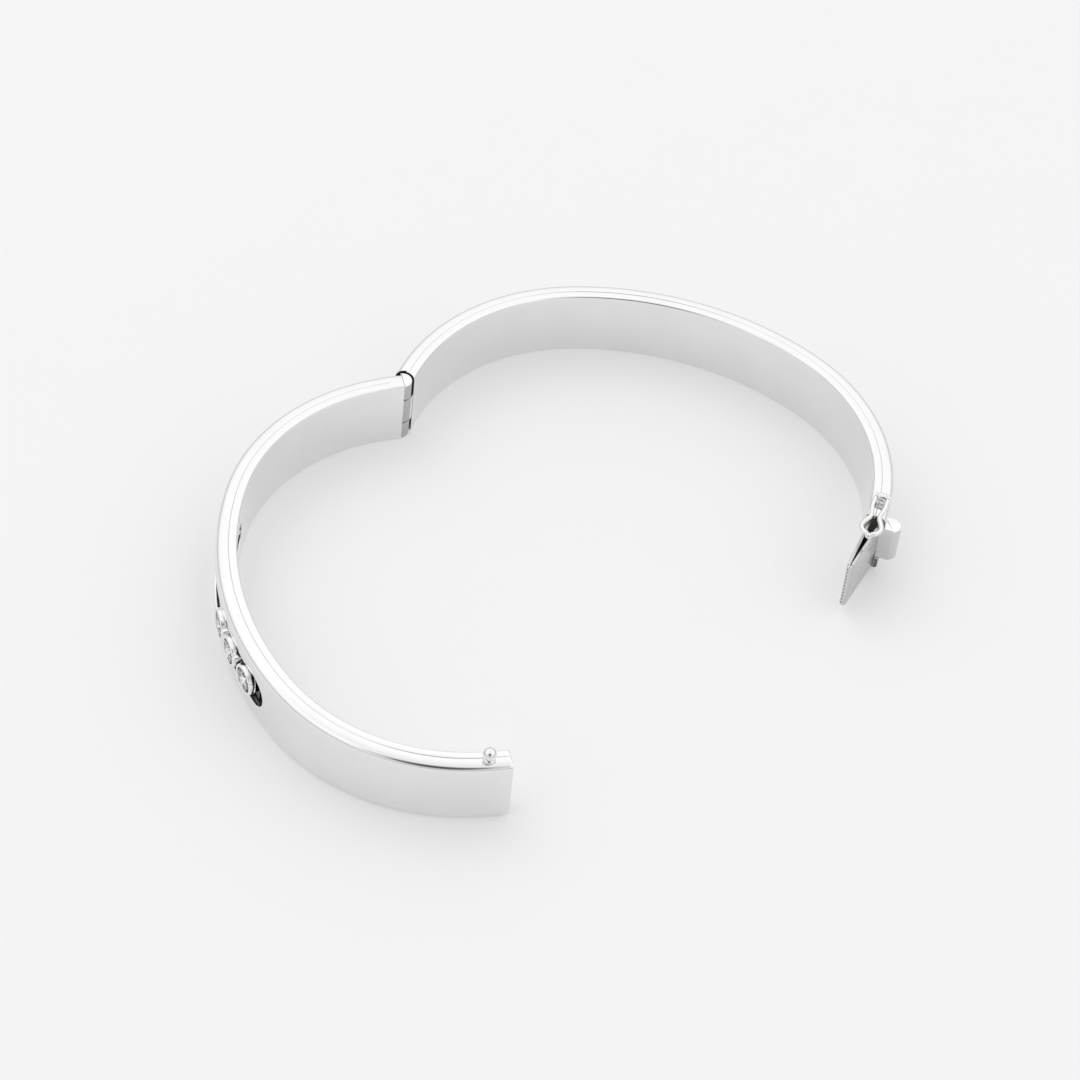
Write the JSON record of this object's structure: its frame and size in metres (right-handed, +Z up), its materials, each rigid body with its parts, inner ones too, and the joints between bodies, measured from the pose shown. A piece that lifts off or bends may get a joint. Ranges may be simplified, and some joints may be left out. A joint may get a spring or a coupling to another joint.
{
  "type": "hinged bangle bracelet",
  "caption": "Oval hinged bangle, shown open, with a snap-tongue clasp, a safety loop and small round stones in bezels that slide in a slot.",
  "frame": {"origin": "centre of the open bangle's footprint on the surface it lies on, below the lower side face", "axes": "+Z up, across the band; +X the long way of the back half's oval, towards the clasp; +Y from the open front half towards the back half"},
  "size_m": [0.0742, 0.0814, 0.0104],
  "materials": {
    "polished_gold": "mirror-polished rhodium-plated white gold",
    "spring_gold": "fine-brushed work-hardened white gold spring strip",
    "diamond": "clear brilliant-cut stone"
  },
  "bodies": {
    "back_half": {"back_outer_shell": "polished_gold", "back_inner_liner": "polished_gold", "back_hinge_block": "polished_gold", "back_end_plate": "polished_gold", "hinge_pin": "polished_gold", "snap_inner_leaf": "spring_gold", "safety_lug": "polished_gold"},
    "snap_button": {"snap_outer_leaf": "spring_gold", "push_button": "polished_gold"},
    "safety_catch": {"safety_loop": "polished_gold", "safety_pin": "polished_gold"},
    "front_half": {"front_outer_shell": "polished_gold", "front_inner_liner": "polished_gold", "front_hinge_block": "polished_gold", "front_catch_plates": "polished_gold", "ball_stud": "polished_gold"},
    "stone_1": {"bezel_1": "polished_gold", "diamond_1": "diamond"},
    "stone_2": {"bezel_2": "polished_gold", "diamond_2": "diamond"},
    "stone_3": {"bezel_3": "polished_gold", "diamond_3": "diamond"}
  },
  "joints": [
    {"name": "main_hinge", "type": "hinge", "parent": "back_half", "child": "front_half", "pos_m": [-0.0238, 0.01394, 0], "axis": [0, 0, 1], "range_deg": [0, 58.8]},
    {"name": "button_press", "type": "hinge", "parent": "back_half", "child": "snap_button", "pos_m": [0.03313, 0.00644, 0.0044], "axis": [0, 0, 1], "range_deg": [0, 4], "stiffness_Nm_per_rad": 0.05},
    {"name": "safety_lift", "type": "hinge", "parent": "back_half", "child": "safety_catch", "pos_m": [0.03406, 0.01644, 0.00945], "axis": [-1, 0, 0], "range_deg": [0, 100]},
    {"name": "stone_2_slide", "type": "hinge", "parent": "front_half", "child": "stone_2", "pos_m": [0.00104, -0.00487, 0.0044], "axis": [0, 0, 1], "range_deg": [-16.1, 0.25]},
    {"name": "stone_1_slide", "type": "hinge", "parent": "stone_2", "child": "stone_1", "pos_m": [0.00104, -0.00487, 0.0044], "axis": [0, 0, 1], "range_deg": [-3.4, 0]},
    {"name": "stone_3_slide", "type": "hinge", "parent": "stone_2", "child": "stone_3", "pos_m": [0.00104, -0.00487, 0.0044], "axis": [0, 0, 1], "range_deg": [-0.5, 2]}
  ]
}
